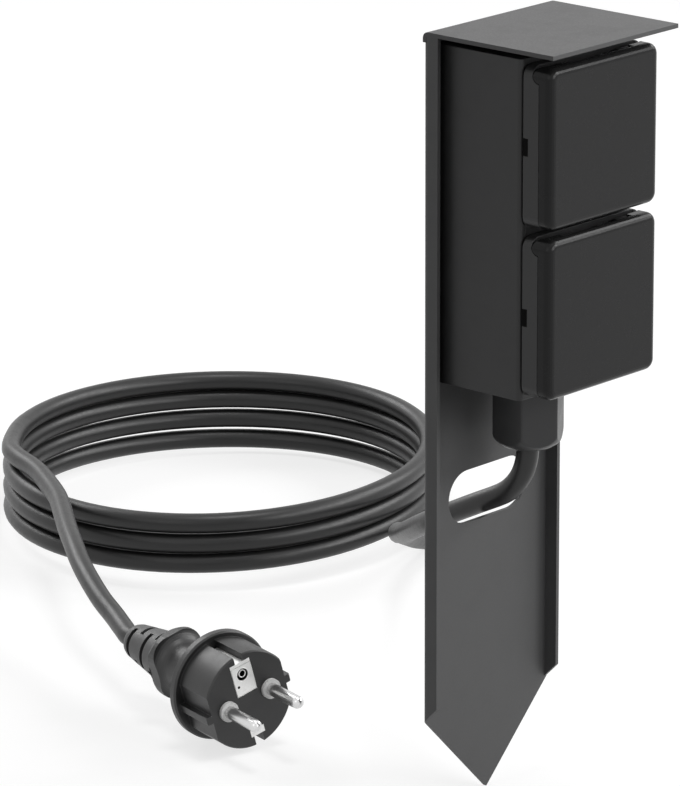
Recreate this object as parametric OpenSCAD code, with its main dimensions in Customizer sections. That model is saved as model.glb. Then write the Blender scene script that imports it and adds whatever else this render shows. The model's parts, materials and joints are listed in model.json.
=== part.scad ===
// Outdoor double socket on a folded ground stake, with its mains cord and plug.
// X runs to the right of someone who faces the lids, Y to the back and Z up.
// The origin is the point of the stake, on the rear face of the sheet. Millimetres.

/* [Stake] */
// Room between the housing and the outside of the stake, on each side
post_room = 4.4; // [3:0.1:16]
// Height from the point to the top of the roof
post_h = 282.5; // [281:1:330]
// Thickness of the sheet
sheet_t = 1.5; // [1:0.1:2.5]
// Depth of the side flanges, from the rear face
flange_d = 6.75; // [5:0.25:12]
// How far the roof stands out in front of the lids
roof_over = 4.4; // [3:0.1:20]
// Outer radius of the bends
bend_r = 2.2; // [1.8:0.1:4]
// Width of the cord slot
slot_w = 42; // [30:1:50]
// Height of the cord slot
slot_h = 19.4; // [18:0.2:22]
// Height of the housing's floor above the slot's centre
slot_drop = 46.3; // [44:0.1:48]

/* [Housing] */
// Width of the housing and of the lids
box_w = 58.2; // [56:0.2:62]
// Housing above the upper frame and below the lower one
box_margin = 1.8; // [1:0.1:3]
// Depth of the housing
box_d = 39; // [38:0.5:44]
// Gap between the housing and the roof
roof_gap = 3; // [2:0.1:4]
// Wall of the housing
box_wall = 2.2; // [1.6:0.1:3]
// Rounding of the housing's upright edges
box_edge_r = 1.6; // [0.8:0.1:3]
// Thickness of the front plate
plate_t = 2.5; // [2:0.1:3.5]

/* [Socket frames] */
// Height of each frame and lid
frame_h = 56.8; // [56:0.1:57.2]
// Gap between the two frames
frame_gap = 3.2; // [2.8:0.1:4]
// Depth of a frame
frame_d = 6.7; // [6.5:0.1:8]
// Corner radius of frames and lids
corner_r = 4; // [3.5:0.1:6]
// Thickness of the gasket behind a frame
gasket_t = 0.9; // [0.6:0.1:1.5]
// Height of the frame beyond the inside diameter of the socket cup
cup_room = 17.2; // [16.8:0.1:18]
// Depth of the socket cup
cup_depth = 17.5; // [17:0.1:18.5]
// Wall of the socket cup
cup_wall = 1.7; // [1.4:0.1:2]
// Distance between the two pins
pin_pitch = 19; // [18.5:0.1:19.5]
// Diameter of the mains pins
pin_d = 4.8; // [4:0.1:5]

/* [Lids] */
// Depth of a lid
lid_d = 5.3; // [5:0.1:6]
// Wall of a lid
lid_wall = 1.8; // [1.4:0.1:2]
// Rounding of a lid's front edge
lid_edge_r = 2.7; // [1.5:0.1:3]
// Seam between lid and frame
seam = 0.2; // [0.2:0.05:0.4]
// Diameter of the hinge pin
hinge_pin_d = 2; // [1.6:0.1:2.2]
// Diameter of the hinge knuckles
knuckle_d = 4.6; // [4.2:0.1:4.8]
// Depth of the hinge line below the lid's upper edge
hinge_drop = 2.8; // [2.6:0.1:3]
// Wire of the lid's spring
spring_wire = 0.7; // [0.5:0.05:0.75]
// Turns of the lid's spring
spring_turns = 5; // [3:1:5]

/* [Cable gland] */
// Distance of the gland's axis from the rear face
gland_y = 20; // [19:0.5:21]
// Diameter of the gland's thread
gland_thread_d = 20; // [18:0.5:22]
// Width across the flats of the gland's cap
gland_af = 23; // [22.5:0.1:25]
// Height of the gland's cap
gland_cap_h = 25; // [23:0.5:25.5]

/* [Cord] */
// Diameter of the cord
cord_d = 8; // [7:0.1:8.2]
// Radius of the coil across the view
coil_across = 85.5; // [80:0.5:90]
// Radius of the coil along the view
coil_along = 94; // [90:0.5:98]
// Rise of one turn of the coil
coil_pitch = 8.8; // [8.6:0.1:9.5]

/* [Plug] */
// Diameter of the plug's face
plug_d = 37.5; // [36:0.5:38]
// Diameter of the plug's rim
plug_rim_d = 41.6; // [40:0.2:42]
// Distance of the rim behind the face
plug_face_d = 18; // [17:0.5:20]
// Length of the pins ahead of the face
plug_pin_l = 20; // [18:0.5:21]
// Length from the face to the cord
plug_l = 76; // [74:1:80]

/* [Hidden] */
$fn = 48;

// Clearances and small shared sizes
cut = 0.5;
play = 0.05;
slip = 0.15;
post_w = box_w + 2 * post_room;
tip_rise = post_w / 2;
roof_under = post_h - sheet_t;

// Depths in front of the rear face, as positive numbers
box_back = sheet_t;
box_front = box_back + box_d;
frame_back = box_front + gasket_t;
frame_front = frame_back + frame_d;
lid_back = frame_front + seam;
lid_front = lid_back + lid_d;
hinge_y = frame_front + seam / 2;
roof_d = lid_front + roof_over;

// Heights of the housing, the two socket places and the cord slot
box_h = 2 * frame_h + frame_gap + 2 * box_margin;
box_z = roof_under - roof_gap - box_h;
box_mid_z = box_z + box_h / 2;
slot_z = box_z - slot_drop;
place_pitch = frame_h + frame_gap;
place_z = [box_mid_z + place_pitch / 2, box_mid_z - place_pitch / 2];

// Socket cup, its flange and the openings round it
cup_r = (frame_h - cup_room) / 2;
cup_out_r = cup_r + cup_wall;
opening_r = cup_out_r + 0.3;
cup_flange_r = cup_out_r + 3.5;
cup_flange_t = 1.9;
cup_rim_y = frame_front - 0.5;
cup_floor_y = cup_rim_y - cup_depth;
cup_floor_t = 2.4;
cup_back_y = cup_floor_y - cup_floor_t;
pin_hole_r = pin_d / 2 + 0.4;
sleeve_in_r = pin_d / 2 + 0.03;
sleeve_out_r = sleeve_in_r + 0.9;
sleeve_l = 13;
holder_r = sleeve_out_r + 1.5;
holder_l = 12;
terminal_w = 7.6;
terminal_l = 6.4;
wire_r = 1.15;
wire_hole_r = wire_r + slip;
wire_y = cup_back_y - sleeve_l - terminal_l / 2;

// Earth clip in the cup
clip_t = 0.8;
clip_w = 4;
clip_z = cup_r - 1.4;
clip_front_y = cup_rim_y - 3.5;
clip_bump = 2;
earth_block = 6;
earth_wire_y = cup_back_y - clip_t - earth_block / 2;

// Frame screws, offset from the middle of each place
frame_screw_in = 5.5;
frame_screw_down = 8.9;
frame_screw_x = box_w / 2 - frame_screw_in;
frame_screw_z = frame_h / 2 - frame_screw_down;
frame_screw_r = 1.45;
frame_head_r = 2.75;
frame_head_h = 1.8;
frame_screw_l = 18;
head_well = 2.2;
boss_r = 3.5;

// Hinge
knuckle_r = knuckle_d / 2;
hinge_pin_r = hinge_pin_d / 2;
knuckle_hole_r = hinge_pin_r + play;
notch_drop = hinge_drop + knuckle_r + 0.5;
notch_y = hinge_y - hinge_drop - 0.5;
frame_knuckle_in = 16.9;
frame_knuckle_x = box_w / 2 - frame_knuckle_in;
frame_knuckle_l = 6;
knuckle_gap = 0.3;
lid_knuckle_x = frame_knuckle_x + frame_knuckle_l + knuckle_gap;
ear_w = 3.2;
ear_x = box_w / 2 - ear_w;
ear_r = knuckle_r + 0.45;
ear_gap = 0.3;
pin_end_x = box_w / 2 - lid_wall - 1;
hinge_slot_x = lid_knuckle_x - 0.2;
hinge_slot_y = hinge_y + knuckle_r + 0.45;
spring_in = 7.6;
spring_x = frame_knuckle_x - spring_in;
spring_step = spring_wire + 0.45;
spring_mean_r = hinge_pin_r + 0.35 + spring_wire / 2;

// Seal ring in the lid
seal_in_r = opening_r + 0.2;
seal_out_r = seal_in_r + 2;
collar_h = 1;
seal_gap = 0.3;

// Screws between housing and stake
box_screw_drop = 15.2;
box_screw_z = [box_mid_z + box_h / 2 - box_screw_drop, box_mid_z - box_h / 2 + box_screw_drop];
box_screw_r = 1.95;
box_head_r = 3.5;
box_screw_l = 9;

// Gland, from the floor of the housing down and up
gland_thread_r = gland_thread_d / 2;
washer_t = 0.6;
gland_collar_r = gland_thread_r + 1.2;
gland_collar_t = 0.7;
washer_z = box_z - washer_t;
collar_z = washer_z - gland_collar_t;
cap_top_z = collar_z - 0.1;
cap_z = cap_top_z - gland_cap_h;
cap_dome_h = 8;
cap_hole_r = cord_d / 2 + 0.4;
gland_bore_r = cord_d / 2 + 1;
gland_top_z = box_z + box_wall + 6;
nut_t = 4;
nut_af = gland_thread_d + 5;
neck_r = gland_thread_r - 1.4;
neck_z = cap_z + 9;
seal_r = neck_r - 1.6;
seal_l = 10;

// Oval coil: its centre, the turn of its long axis, its height and its turns
coil_centre = [168, 285];
coil_turn = -48;
coil_turns = 3.5;
rings_a_turn = 24;
coil_sides = 6;
cord_sides = 10;
cord_r = cord_d / 2;
cord_top_z = cap_top_z + 4;

// Plug: the middle of its face, the turn of its axis from -Y, its slope and the roll of its pins
plug_turn = -13.7;
plug_slope = 1.3;
plug_roll = -16.4;
plug_face = [-30.6, 85.9, plug_rim_d / 2 - plug_face_d * sin(plug_slope) + 0.02];
drum_r = plug_d / 2;
rim_r = plug_rim_d / 2;
rim_t = 3.6;
groove_w = 3.8;
flat_x = drum_r - 2.25;
guide_w = 3;
pin_collar_h = 1.2;
pin_collar_r = pin_d / 2 + 1.4;
pin_root_r = pin_d / 2 - 0.4;
pin_root_l = 15;
grip_w = 21.4;
grip_h = 25.4;
grip_corner_r = 7.4;
grip_t = 4.6;
grip_back = 30.1;
grip_y = plug_l - grip_back;
waist_r = 9.2;
relief_y = grip_y + grip_t;
relief_r = 9.8;
relief_end_r = 6.3;
relief_hole_r = cord_r + slip;
cord_end_y = relief_y - 11;

function unit(v) = v / norm(v);
function across(n, t) = unit(n - (n * t) * t);

// Directions of a route at its points, with given directions at its two ends
function directions(p, first, last) = [
    for (i = [0:len(p) - 1])
        i == 0 ? first : i == len(p) - 1 ? last : unit(p[i + 1] - p[i - 1])
];

// Side vectors that follow a route without twist
function side_vectors(d, n, i = 0, done = []) =
    i == len(d) ? done
    : let (s = across(n, d[i])) side_vectors(d, s, i + 1, concat(done, [s]));

// A closed tube of radius r along the points p
module tube(p, r, sides, first, last, start_side) {
    d = directions(p, first, last);
    s = side_vectors(d, start_side);
    n = len(p);
    rings = [
        for (i = [0:n - 1])
            for (k = [0:sides - 1])
                p[i] + r * (cos(360 * k / sides) * s[i] + sin(360 * k / sides) * cross(d[i], s[i]))
    ];
    walls = [
        for (i = [0:n - 2])
            for (k = [0:sides - 1])
                let (a = i * sides + k, b = i * sides + (k + 1) % sides)
                    for (half = [0, 1])
                        half == 0 ? [a, a + sides, b] : [b, a + sides, b + sides]
    ];
    start_cap = [for (k = [1:sides - 2]) [0, k, k + 1]];
    end_cap = [for (k = [1:sides - 2]) [(n - 1) * sides, (n - 1) * sides + k + 1, (n - 1) * sides + k]];
    polyhedron(points = rings, faces = concat(walls, start_cap, end_cap));
}

// Least distance between the surfaces of stretches of a tube that lie half a turn or more apart
function least_gap(p, apart, r) = min([
    for (i = [0:len(p) - 1 - apart])
        for (j = [i + apart:len(p) - 1])
            norm(p[i] - p[j]) - 2 * r
]);

// Corner points of a rectangle with round corners, centred
function round_rect(w, h, r, steps = 7) = [
    for (q = [0:3])
        let (x = (q == 0 || q == 3 ? 1 : -1) * (w / 2 - r), y = (q < 2 ? 1 : -1) * (h / 2 - r))
            for (k = [0:steps])
                [x + r * cos(90 * q + 90 * k / steps), y + r * sin(90 * q + 90 * k / steps)]
];

// A block between two depths in front of the rear face
module block(x0, x1, front, back, z0, z1) {
    translate([x0, -front, z0]) cube([x1 - x0, front - back, z1 - z0]);
}

// A plate with round corners between two depths, centred on x = 0 and the height z
module slab(w, h, r, front, back, z) {
    translate([0, -back, z]) rotate([90, 0, 0]) linear_extrude(front - back) polygon(round_rect(w, h, r));
}

// A round bar along Y between two depths
module bar(r, front, back, x, z) {
    translate([x, -back, z]) rotate([90, 0, 0]) cylinder(r = r, h = front - back);
}

// A round bar along X
module cross_bar(r, x0, x1, depth, z) {
    translate([x0, -depth, z]) rotate([0, 90, 0]) cylinder(r = r, h = x1 - x0);
}

// A hexagonal bar along Z with two corners on the Y axis
module hexagon_bar(width, h) {
    rotate([0, 0, 30]) cylinder(d = width / cos(30), h = h, $fn = 6);
}

// Stake: a sheet folded to a channel, with the roof folded forward and a pointed lower end
module ground_post() {
    color([0.30, 0.30, 0.31]) difference() {
        union() {
            channel();
            roof();
        }
        point_cut();
        slot();
        for (z = box_screw_z) screw_seat(z);
    }
}

module channel() {
    outer = [
        [-post_w / 2, -flange_d], each bend_arc(-1), each bend_arc(1), [post_w / 2, -flange_d],
        [post_w / 2 - sheet_t, -flange_d], [post_w / 2 - sheet_t, -sheet_t],
        [-post_w / 2 + sheet_t, -sheet_t], [-post_w / 2 + sheet_t, -flange_d]
    ];
    linear_extrude(roof_under + cut) polygon(outer);
}

// Points round an upright bend, on the left for side -1 and on the right for side 1
function bend_arc(side, steps = 5) = [
    for (k = [0:steps])
        let (a = side < 0 ? 180 - 90 * k / steps : 90 - 90 * k / steps)
            [side * (post_w / 2 - bend_r) + bend_r * cos(a), -bend_r + bend_r * sin(a)]
];

module roof() {
    steps = 5;
    profile = [
        [-roof_d, roof_under], [-roof_d, post_h],
        for (k = [0:steps]) [
            -bend_r + bend_r * sin(90 * k / steps), post_h - bend_r + bend_r * cos(90 * k / steps)
        ],
        [0, roof_under - bend_r], [-sheet_t, roof_under - bend_r], [-sheet_t, roof_under]
    ];
    translate([-post_w / 2, 0, 0]) rotate([90, 0, 90]) linear_extrude(post_w) polygon(profile);
}

// Both lower corners are cut away along 45 degrees, and the flanges slope up to their front edge
module point_cut() {
    for (side = [-1, 1]) {
        translate([0, cut, 0]) rotate([90, 0, 0]) linear_extrude(flange_d + 2 * cut)
            polygon([[0, -cut], [0, 0], [side * post_w, post_w * tip_rise / (post_w / 2)], [side * post_w, -cut]]);
    }
    rotate([90, 0, 90]) linear_extrude(2 * post_w, center = true)
        polygon([
            [-sheet_t, tip_rise], [-flange_d - cut, tip_rise + flange_d + cut - sheet_t],
            [-flange_d - cut, -cut], [-sheet_t, -cut]
        ]);
}

module slot() {
    reach = slot_w / 2 - slot_h / 2;
    block(-reach, reach, sheet_t + cut, -cut, slot_z - slot_h / 2, slot_z + slot_h / 2);
    for (x = [-reach, reach]) bar(slot_h / 2, sheet_t + cut, -cut, x, slot_z);
}

// Countersunk seat of a screw in the sheet
module screw_seat(z) {
    seat_r = box_head_r + play;
    translate([0, 0, z]) rotate([90, 0, 0])
        cylinder(r1 = seat_r, r2 = box_screw_r + play, h = sheet_t);
    bar(box_screw_r + play, sheet_t + cut, 0, 0, z);
    bar(seat_r, cut, -cut, 0, z);
}

module box_screws() {
    color([0.62, 0.62, 0.64]) for (z = box_screw_z) {
        translate([0, 0, z]) rotate([90, 0, 0]) cylinder(r1 = box_head_r, r2 = box_screw_r, h = sheet_t);
        bar(box_screw_r, box_back + box_screw_l, sheet_t, 0, z);
    }
}

// Housing: open at the front, with screw bosses and the gland's hole in its floor
module socket_box() {
    inner_w = box_w - 2 * box_wall;
    inner_h = box_h - 2 * box_wall;
    plate_y = box_front - plate_t;
    color([0.19, 0.19, 0.20]) difference() {
        union() {
            difference() {
                housing_blank();
                block(
                    -inner_w / 2, inner_w / 2, box_front + cut, box_back + box_wall,
                    box_z + box_wall, box_z + box_wall + inner_h
                );
            }
            for (z = place_z)
                for (side = [-1, 1])
                    housing_boss(side * frame_screw_x, z - side * frame_screw_z, plate_y - play);
            for (z = box_screw_z) bar(boss_r, box_back + box_screw_l + 1.5, box_back + box_wall - play, 0, z);
        }
        for (z = place_z)
            for (side = [-1, 1])
                bar(frame_screw_r + play, box_front, plate_y - frame_screw_l, side * frame_screw_x,
                    z - side * frame_screw_z);
        for (z = box_screw_z) bar(box_screw_r + play, box_back + box_screw_l + 0.5, box_back - cut, 0, z);
        translate([0, -gland_y, box_z - cut]) cylinder(r = gland_thread_r + slip, h = box_wall + 2 * cut);
    }
}

// The housing's outer form, with rounded upright edges at the front
module housing_blank() {
    steps = 4;
    front_edge = [
        for (side = [1, -1])
            for (k = [0:steps])
                let (a = side > 0 ? -90 * k / steps : -90 - 90 * k / steps)
                    [
                        side * (box_w / 2 - box_edge_r) + box_edge_r * cos(a),
                        -box_front + box_edge_r + box_edge_r * sin(a)
                    ]
    ];
    translate([0, 0, box_z]) linear_extrude(box_h)
        polygon([[-box_w / 2, -box_back], [box_w / 2, -box_back], each front_edge]);
}

// A boss with a web to the housing's wall
module housing_boss(x, z, front) {
    side = sign(x);
    bar(boss_r, front, box_back + box_wall - play, x, z);
    wall_x = side * (box_w / 2 - box_wall + play);
    block(min(x, wall_x), max(x, wall_x), front, box_back + box_wall - play, z - 1.2, z + 1.2);
}

// Plate in the mouth of the housing
module front_plate() {
    w = box_w - 2 * box_wall - 2 * slip;
    h = box_h - 2 * box_wall - 2 * slip;
    color([0.17, 0.17, 0.18]) difference() {
        block(-w / 2, w / 2, box_front, box_front - plate_t, box_mid_z - h / 2, box_mid_z + h / 2);
        for (z = place_z) place_holes(box_front + cut, box_front - plate_t - cut, z);
    }
}

// Round opening and screw holes of one socket place
module place_holes(front, back, z) {
    bar(opening_r, front, back, 0, z);
    for (side = [-1, 1])
        bar(frame_screw_r + 0.25, front, back, side * frame_screw_x, z - side * frame_screw_z);
}

module frame_gasket(z) {
    inset = 1.6;
    color([0.05, 0.05, 0.05]) difference() {
        slab(box_w - 2 * inset, frame_h - 2 * inset, corner_r - 1, frame_back, box_front, z);
        place_holes(frame_back + cut, box_front - cut, z);
    }
}
module upper_frame_gasket() { frame_gasket(place_z[0]); }
module lower_frame_gasket() { frame_gasket(place_z[1]); }

// Fixed frame: round opening with a seal collar, screw wells, hinge lugs and a pry notch on each side
module socket_frame(z) {
    top = z + frame_h / 2;
    axis_z = top - hinge_drop;
    pry_h = 6;
    pry_d = 1.5;
    color([0.20, 0.20, 0.21]) difference() {
        union() {
            difference() {
                slab(box_w, frame_h, corner_r, frame_front, frame_back, z);
                block(-ear_x + 0.1, ear_x - 0.1, frame_front + cut, notch_y, top - notch_drop, top + cut);
                block(-box_w, box_w, frame_front + cut, notch_y + 0.2, axis_z, top + cut);
                cross_bar(ear_r + ear_gap, -box_w, box_w, hinge_y, axis_z);
            }
            bar(seal_out_r, frame_front + collar_h, frame_front - play, 0, z);
            for (side = [-1, 1]) frame_lug(side, axis_z);
        }
        bar(opening_r, frame_front + collar_h + cut, frame_back - cut, 0, z);
        bar(cup_flange_r + slip, frame_back + cup_flange_t + slip, frame_back - cut, 0, z);
        for (side = [-1, 1]) {
            x = side * frame_screw_x;
            bar(frame_screw_r + 0.25, frame_front + cut, frame_back - cut, x, z - side * frame_screw_z);
            bar(frame_head_r + 0.25, frame_front + cut, frame_front - head_well, x, z - side * frame_screw_z);
            block(
                side * box_w / 2 - pry_d, side * box_w / 2 + pry_d, frame_back + pry_d, frame_back - cut,
                z - pry_h / 2, z + pry_h / 2
            );
        }
        cross_bar(knuckle_hole_r, -box_w, box_w, hinge_y, axis_z);
    }
}

// A hinge lug that stands forward from the frame's upper edge
module frame_lug(side, axis_z) {
    x0 = side > 0 ? frame_knuckle_x : -frame_knuckle_x - frame_knuckle_l;
    cross_bar(knuckle_r, x0, x0 + frame_knuckle_l, hinge_y, axis_z);
    block(x0, x0 + frame_knuckle_l, hinge_y, notch_y - play, axis_z - knuckle_r, axis_z);
}
module upper_frame() { socket_frame(place_z[0]); }
module lower_frame() { socket_frame(place_z[1]); }

// Pan head screws in the wells of the frames
module frame_screws() {
    seat = frame_front - head_well;
    color([0.66, 0.66, 0.68]) for (z = place_z)
        for (side = [-1, 1]) {
            x = side * frame_screw_x;
            bar(frame_head_r, seat + frame_head_h, seat, x, z - side * frame_screw_z);
            bar(frame_screw_r, seat, seat - frame_screw_l, x, z - side * frame_screw_z);
        }
}

// Lid: a shallow cap with a rounded front edge, open towards the frame, with two knuckles and ears
module lid(z) {
    top = z + frame_h / 2;
    axis_z = top - hinge_drop;
    color([0.22, 0.22, 0.23]) difference() {
        union() {
            difference() {
                lid_shell(z);
                slab(
                    box_w - 2 * lid_wall, frame_h - 2 * lid_wall, corner_r - lid_wall,
                    lid_front - lid_wall, lid_back - cut, z
                );
                block(-hinge_slot_x, hinge_slot_x, hinge_slot_y, lid_back - cut, top - lid_wall - cut, top + cut);
            }
            for (side = [-1, 1]) {
                x0 = side > 0 ? lid_knuckle_x : -ear_x - play;
                x1 = side > 0 ? ear_x + play : -lid_knuckle_x;
                cross_bar(knuckle_r, x0, x1, hinge_y, axis_z);
                block(x0, x1, hinge_y + knuckle_r, hinge_y, axis_z, top - lid_wall + play);
            }
            lid_ears(z, axis_z);
        }
        cross_bar(knuckle_hole_r, -pin_end_x, pin_end_x, hinge_y, axis_z);
    }
}

// Round ears that fill the ends of the frame's notch and turn in them
module lid_ears(z, axis_z) {
    intersection() {
        slab(box_w, frame_h, corner_r, lid_front, frame_back, z);
        for (side = [-1, 1]) {
            x0 = side > 0 ? ear_x : -box_w / 2;
            cross_bar(ear_r, x0, x0 + ear_w, hinge_y, axis_z);
        }
    }
}

// The lid's outer form, spanned between four turned corners
module lid_shell(z) {
    steps = 5;
    flat = lid_d - lid_edge_r;
    profile = [
        [0, 0], [corner_r, 0],
        for (k = [0:steps]) [
            corner_r - lid_edge_r + lid_edge_r * cos(90 * k / steps),
            flat + lid_edge_r * sin(90 * k / steps)
        ],
        [0, lid_d]
    ];
    hull() for (x = [-1, 1])
        for (s = [-1, 1])
            translate([x * (box_w / 2 - corner_r), -lid_back, z + s * (frame_h / 2 - corner_r)])
                rotate([90, 0, 0]) rotate_extrude($fn = 32) polygon(profile);
}
module upper_lid() { lid(place_z[0]); }
module lower_lid() { lid(place_z[1]); }

// Rubber ring inside the lid, which closes on the collar of the frame
module lid_seal(z) {
    color([0.06, 0.06, 0.06]) difference() {
        bar(seal_out_r, lid_front - lid_wall, frame_front + collar_h + seal_gap, 0, z);
        bar(seal_in_r, lid_front, frame_front, 0, z);
    }
}
module upper_lid_seal() { lid_seal(place_z[0]); }
module lower_lid_seal() { lid_seal(place_z[1]); }

module hinge_pin(z) {
    reach = pin_end_x - 0.1;
    color([0.72, 0.72, 0.74]) cross_bar(hinge_pin_r, -reach, reach, hinge_y, z + frame_h / 2 - hinge_drop);
}
module upper_hinge_pin() { hinge_pin(place_z[0]); }
module lower_hinge_pin() { hinge_pin(place_z[1]); }

// Torsion spring round the hinge pin, with one leg back to the frame
module lid_spring(z) {
    axis = [0, -hinge_y, z + frame_h / 2 - hinge_drop];
    rings = 8;
    leg = hinge_y - notch_y - 0.3;
    coil = [
        for (i = [0:spring_turns * rings])
            let (a = 360 * i / rings)
                axis + [spring_x + spring_step * i / rings, spring_mean_r * sin(a), -spring_mean_r * cos(a)]
    ];
    lead_in = axis + [spring_x, -spring_wire * 1.4, -spring_mean_r];
    lead_out = coil[len(coil) - 1] + [0, leg, 0];
    route = concat([lead_in], coil, [lead_out]);
    echo(str("least gap between the spring's turns ", least_gap(coil, rings / 2 + 1, spring_wire / 2)));
    color([0.75, 0.75, 0.77]) tube(route, spring_wire / 2, 6, [0, 1, 0], [0, 1, 0], [1, 0, 0]);
}
module upper_lid_spring() { lid_spring(place_z[0]); }
module lower_lid_spring() { lid_spring(place_z[1]); }

// Socket cup with its flange, guide ribs, pin holes and the holders of the contacts
module socket_insert(z) {
    rib_w = 13;
    rib_h = 2.6;
    rib_slot = guide_w + 1;
    clip_slot = clip_t + 0.5;
    flange_y = frame_back + cup_flange_t;
    color([0.16, 0.16, 0.17]) difference() {
        union() {
            difference() {
                union() {
                    bar(cup_out_r, cup_rim_y, cup_back_y, 0, z);
                    bar(cup_flange_r, flange_y, frame_back, 0, z);
                }
                bar(cup_r, cup_rim_y + cut, cup_floor_y, 0, z);
            }
            for (side = [-1, 1]) {
                rib_x = side * (cup_r - rib_h / 2);
                for (half = [-1, 1]) {
                    low_z = half > 0 ? rib_slot / 2 : -rib_w / 2;
                    block(
                        rib_x - rib_h / 2, rib_x + rib_h / 2, cup_rim_y - 2, cup_floor_y - play,
                        z + low_z, z + low_z + (rib_w - rib_slot) / 2
                    );
                }
                bar(holder_r, cup_back_y + play, cup_back_y - holder_l, side * pin_pitch / 2, z);
            }
        }
        for (side = [-1, 1]) {
            bar(pin_hole_r, cup_floor_y + cut, cup_back_y - play, side * pin_pitch / 2, z);
            bar(sleeve_out_r + slip, cup_back_y, cup_back_y - holder_l - cut, side * pin_pitch / 2, z);
            block(
                -clip_w / 2 - 0.3, clip_w / 2 + 0.3, cup_floor_y + cut, cup_back_y - cut,
                z + side * clip_z - clip_slot, z + side * clip_z + clip_slot
            );
        }
    }
}
module upper_socket_insert() { socket_insert(place_z[0]); }
module lower_socket_insert() { socket_insert(place_z[1]); }

// Earth clip: a yoke behind the cup's floor, with two sprung tongues and a terminal block
module earth_clip(z) {
    color([0.78, 0.76, 0.70]) {
        for (side = [-1, 1]) clip_tongue(side, z);
        difference() {
            union() {
                block(-clip_w, clip_w, cup_back_y, cup_back_y - clip_t, z - clip_z + 0.4, z + clip_z - 0.4);
                block(
                    -earth_block / 2, earth_block / 2, cup_back_y - clip_t + play,
                    cup_back_y - clip_t - earth_block, z - earth_block / 2, z + earth_block / 2
                );
            }
            translate([0, -earth_wire_y, z - earth_block]) cylinder(r = wire_hole_r, h = 2 * earth_block);
        }
    }
}

// One tongue, a strip that runs forward along the cup's wall and bows inwards near its end
module clip_tongue(side, z) {
    steps = 16;
    bow_l = 9;
    back = cup_back_y - clip_t;
    depth = [
        back, for (k = [0:steps]) clip_front_y - bow_l + bow_l * k / steps
    ];
    line = [
        for (y = depth)
            [y, clip_z - (y == back ? 0 : clip_bump * pow(sin(180 * (y - clip_front_y + bow_l) / bow_l), 2))]
    ];
    outline = concat(
        [for (p = line) [-p[0], p[1] + clip_t / 2]],
        [for (i = [len(line) - 1:-1:0]) [-line[i][0], line[i][1] - clip_t / 2]]
    );
    translate([-clip_w / 2, 0, z]) mirror([0, 0, side > 0 ? 0 : 1])
        rotate([90, 0, 90]) linear_extrude(clip_w) polygon(outline);
}
module upper_earth_clip() { earth_clip(place_z[0]); }
module lower_earth_clip() { earth_clip(place_z[1]); }

// Two slit contact sleeves, each with a terminal block for its core
module contacts(z) {
    slit_w = 0.8;
    back = cup_back_y - sleeve_l;
    color([0.80, 0.66, 0.36]) for (side = [-1, 1]) {
        x = side * pin_pitch / 2;
        difference() {
            union() {
                bar(sleeve_out_r, cup_back_y - 0.3, back - play, x, z);
                block(x - terminal_w / 2, x + terminal_w / 2, back, back - terminal_l, z - terminal_w / 2,
                      z + terminal_w / 2);
            }
            bar(sleeve_in_r, cup_back_y, back + 0.5, x, z);
            block(
                min(x, x + side * 2 * sleeve_out_r), max(x, x + side * 2 * sleeve_out_r), cup_back_y,
                back + 3, z - slit_w / 2, z + slit_w / 2
            );
            translate([x, -wire_y, z - terminal_w]) cylinder(r = wire_hole_r, h = 2 * terminal_w);
        }
    }
}
module upper_contacts() { contacts(place_z[0]); }
module lower_contacts() { contacts(place_z[1]); }

// Grub screws that clamp the cores, from behind
module terminal_screws() {
    screw_r = 1.5;
    screw_h = 1.4;
    color([0.70, 0.70, 0.72]) for (z = place_z) {
        for (side = [-1, 1]) {
            back = cup_back_y - sleeve_l - terminal_l;
            bar(screw_r, back, back - screw_h, side * pin_pitch / 2, z);
        }
        back = cup_back_y - clip_t - earth_block;
        bar(screw_r, back, back - screw_h, 0, z);
    }
}

// Cores of the cable, from the end of its sheath to the upper terminals
core_reach = 2.1;
core_top = 5;
module core(start_angle, x, depth) {
    start = [core_reach * cos(start_angle), -gland_y + core_reach * sin(start_angle), cord_top_z];
    above = box_z + box_wall + 10;
    bend_z = place_z[1] - terminal_w / 2 - 4;
    middle = [(start[0] + x) / 2, (start[1] - depth) / 2, (above + bend_z) / 2];
    route = [
        start, start + [0, 0, 5], [start[0], start[1], above], middle, [x, -depth, bend_z],
        [x, -depth, bend_z + 3], [x, -depth, place_z[1] + 10], [x, -depth, place_z[0] + core_top]
    ];
    tube(route, wire_r, 8, [0, 0, 1], [0, 0, 1], [1, 0, 0]);
}
module live_wire() { color([0.36, 0.22, 0.14]) core(20, pin_pitch / 2, wire_y); }
module neutral_wire() { color([0.16, 0.30, 0.62]) core(160, -pin_pitch / 2, wire_y); }
module earth_wire() { color([0.45, 0.60, 0.15]) core(270, 0, earth_wire_y); }

// Threaded body of the gland, with the collar that presses on the washer
module gland_body() {
    color([0.15, 0.15, 0.16]) translate([0, -gland_y, 0]) difference() {
        union() {
            translate([0, 0, washer_z - play]) cylinder(r = gland_thread_r, h = gland_top_z - washer_z);
            translate([0, 0, collar_z]) cylinder(r = gland_collar_r, h = gland_collar_t);
            translate([0, 0, neck_z]) cylinder(r = neck_r, h = collar_z - neck_z + play);
        }
        translate([0, 0, neck_z - cut]) cylinder(r = gland_bore_r, h = gland_top_z - neck_z + 2 * cut);
        translate([0, 0, neck_z - cut]) cylinder(r = seal_r + slip, h = seal_l + cut);
    }
}

module gland_washer() {
    color([0.06, 0.06, 0.06]) translate([0, -gland_y, washer_z]) difference() {
        cylinder(r = gland_collar_r, h = washer_t);
        translate([0, 0, -cut]) cylinder(r = gland_thread_r + slip, h = washer_t + 2 * cut);
    }
}

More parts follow.
